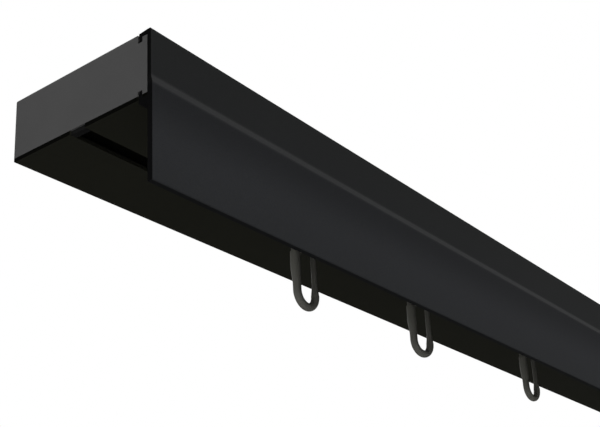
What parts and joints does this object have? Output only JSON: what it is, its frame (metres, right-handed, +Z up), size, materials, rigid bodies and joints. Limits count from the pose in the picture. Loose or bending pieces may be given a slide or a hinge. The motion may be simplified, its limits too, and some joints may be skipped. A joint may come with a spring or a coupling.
{
  "type": "curtain track",
  "caption": "Ceiling curtain track with a clip-on fascia, end caps, sliding gliders with swivelling loops and turn-latch ceiling clips.",
  "frame": {"origin": "on the ceiling plane, midway between the two ceiling screw holes and over the glider slot", "axes": "+X along the track, +Y towards the wall behind the track, +Z up into the ceiling"},
  "size_m": [0.6, 0.0559, 0.0482],
  "materials": {
    "aluminium_black": "fine black powder coat, low sheen",
    "cap_plastic": "moulded dark grey plastic, matte",
    "glider_plastic": "moulded black plastic, slight sheen",
    "zinc_steel": "bright zinc-plated steel"
  },
  "bodies": {
    "track": {"track_profile": "aluminium_black", "fascia": "aluminium_black", "end_cap_left": "cap_plastic", "end_stop_left": "glider_plastic", "stop_screw_left": "zinc_steel", "clip_plate_left": "zinc_steel", "clip_rivet_left": "zinc_steel", "end_cap_right": "cap_plastic", "end_stop_right": "glider_plastic", "stop_screw_right": "zinc_steel", "clip_plate_right": "zinc_steel", "clip_rivet_right": "zinc_steel"},
    "glider_1": {"carrier_1": "glider_plastic"},
    "hanger_1": {"loop_1": "glider_plastic"},
    "glider_2": {"carrier_2": "glider_plastic"},
    "hanger_2": {"loop_2": "glider_plastic"},
    "glider_3": {"carrier_3": "glider_plastic"},
    "hanger_3": {"loop_3": "glider_plastic"},
    "glider_4": {"carrier_4": "glider_plastic"},
    "hanger_4": {"loop_4": "glider_plastic"},
    "glider_5": {"carrier_5": "glider_plastic"},
    "hanger_5": {"loop_5": "glider_plastic"},
    "glider_6": {"carrier_6": "glider_plastic"},
    "hanger_6": {"loop_6": "glider_plastic"},
    "latch_left": {"clip_latch_left": "zinc_steel"},
    "latch_right": {"clip_latch_right": "zinc_steel"}
  },
  "joints": [
    {"name": "glider_1_slide", "type": "slide", "parent": "track", "child": "glider_1", "axis": [1, 0, 0], "range_m": [-0.0305, 0.0299]},
    {"name": "glider_2_slide", "type": "slide", "parent": "track", "child": "glider_2", "axis": [1, 0, 0], "range_m": [-0.0299, 0.0405]},
    {"name": "glider_3_slide", "type": "slide", "parent": "track", "child": "glider_3", "axis": [1, 0, 0], "range_m": [-0.0405, 0.0447]},
    {"name": "glider_4_slide", "type": "slide", "parent": "track", "child": "glider_4", "axis": [1, 0, 0], "range_m": [-0.0447, 0.0288]},
    {"name": "glider_5_slide", "type": "slide", "parent": "track", "child": "glider_5", "axis": [1, 0, 0], "range_m": [-0.0288, 0.0264]},
    {"name": "glider_6_slide", "type": "slide", "parent": "track", "child": "glider_6", "axis": [1, 0, 0], "range_m": [-0.0264, 0.0109]},
    {"name": "loop_1_swivel", "type": "hinge", "parent": "glider_1", "child": "hanger_1", "pos_m": [-0.19796, 0, -0.025], "axis": [0, 0, 1], "continuous": true},
    {"name": "loop_2_swivel", "type": "hinge", "parent": "glider_2", "child": "hanger_2", "pos_m": [-0.12308, 0, -0.025], "axis": [0, 0, 1], "continuous": true},
    {"name": "loop_3_swivel", "type": "hinge", "parent": "glider_3", "child": "hanger_3", "pos_m": [-0.02714, 0, -0.025], "axis": [0, 0, 1], "continuous": true},
    {"name": "loop_4_swivel", "type": "hinge", "parent": "glider_4", "child": "hanger_4", "pos_m": [0.07722, 0, -0.025], "axis": [0, 0, 1], "continuous": true},
    {"name": "loop_5_swivel", "type": "hinge", "parent": "glider_5", "child": "hanger_5", "pos_m": [0.14976, 0, -0.025], "axis": [0, 0, 1], "continuous": true},
    {"name": "loop_6_swivel", "type": "hinge", "parent": "glider_6", "child": "hanger_6", "pos_m": [0.21762, 0, -0.025], "axis": [0, 0, 1], "continuous": true},
    {"name": "latch_left_turn", "type": "hinge", "parent": "track", "child": "latch_left", "pos_m": [-0.174, 0, -0.0045], "axis": [0, 0, 1], "range_deg": [0, 90]},
    {"name": "latch_right_turn", "type": "hinge", "parent": "track", "child": "latch_right", "pos_m": [0.174, 0, -0.0045], "axis": [0, 0, 1], "range_deg": [0, 90]}
  ]
}
